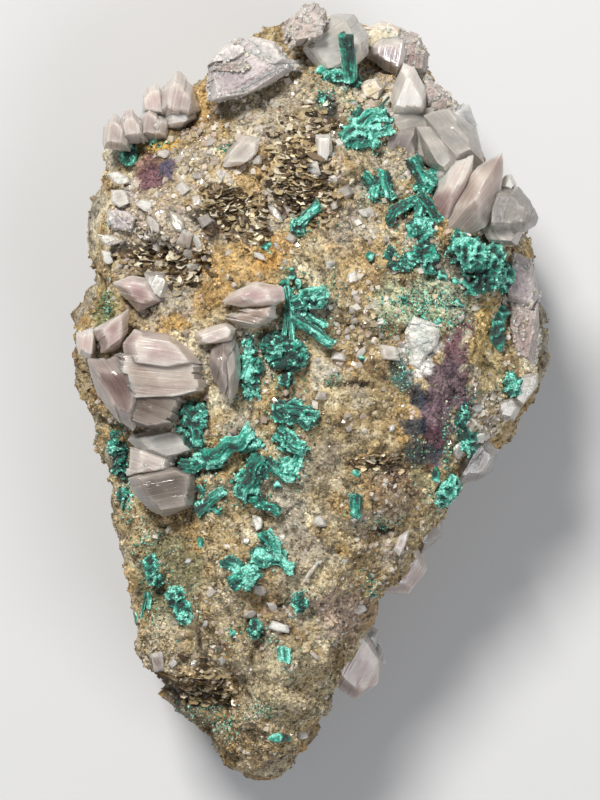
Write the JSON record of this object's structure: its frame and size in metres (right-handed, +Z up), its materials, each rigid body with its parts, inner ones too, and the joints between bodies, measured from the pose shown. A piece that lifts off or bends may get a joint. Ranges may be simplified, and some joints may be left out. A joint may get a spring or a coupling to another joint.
{
  "type": "malachite specimen on limonite matrix with calcite crystals",
  "caption": "Hand-sized wedge of ochre limonite rock, lying on its back, with green malachite tufts over its front and pale mauve calcite crystals along its edges.",
  "frame": {"origin": "middle of the flat base that the specimen rests on, under the middle of its bounding box", "axes": "+Z up, out of the front face; +Y along the specimen from its narrow foot to its wide head; +X to the right as the front face is seen from above"},
  "size_m": [0.0488, 0.0799, 0.0367],
  "materials": {
    "limonite_matrix": "matte",
    "calcite": "gloss",
    "malachite": "satin"
  },
  "bodies": {
    "root": {"matrix_rock": "limonite_matrix", "calcite_left_fan": "calcite", "calcite_left_wedge": "calcite", "calcite_left_lower": "calcite", "calcite_centre_blades": "calcite", "calcite_hanging_blades": "calcite", "calcite_top_left_row": "calcite", "calcite_top_plate": "calcite", "calcite_top_crest": "calcite", "calcite_top_rhomb": "calcite", "calcite_top_prism": "calcite", "calcite_right_mass": "calcite", "calcite_flower": "calcite", "calcite_right_coat": "calcite", "calcite_right_clear": "calcite", "calcite_right_smoky": "calcite", "calcite_low_edge_a": "calcite", "calcite_low_edge_b": "calcite", "calcite_low_edge_c": "calcite", "calcite_front_cube": "calcite", "calcite_front_rhomb": "calcite", "calcite_side_left_a": "calcite", "calcite_side_left_b": "calcite", "calcite_side_right_a": "calcite", "calcite_side_right_b": "calcite", "calcite_side_head": "calcite", "malachite_top_rod": "malachite", "malachite_top_fan": "malachite", "malachite_pair": "malachite", "malachite_fork": "malachite", "malachite_roof": "malachite", "malachite_right_clump": "malachite", "malachite_diagonal": "malachite", "malachite_tuft": "malachite", "malachite_centre_clump": "malachite", "malachite_centre_stem": "malachite", "malachite_leaves": "malachite", "malachite_bar": "malachite", "malachite_chain": "malachite", "malachite_low_rod": "malachite", "malachite_round": "malachite", "malachite_bowl": "malachite", "malachite_low_a": "malachite", "malachite_low_b": "malachite", "malachite_low_left_a": "malachite", "malachite_low_left_b": "malachite", "malachite_bead_a": "malachite", "malachite_bead_b": "malachite", "malachite_bead_c": "malachite", "malachite_tile": "malachite", "malachite_seed": "malachite", "malachite_edge_left_a": "malachite", "malachite_edge_left_b": "malachite", "malachite_edge_right_a": "malachite", "malachite_edge_right_b": "malachite", "malachite_edge_right_c": "malachite", "malachite_head_left": "malachite"}
  },
  "joints": []
}
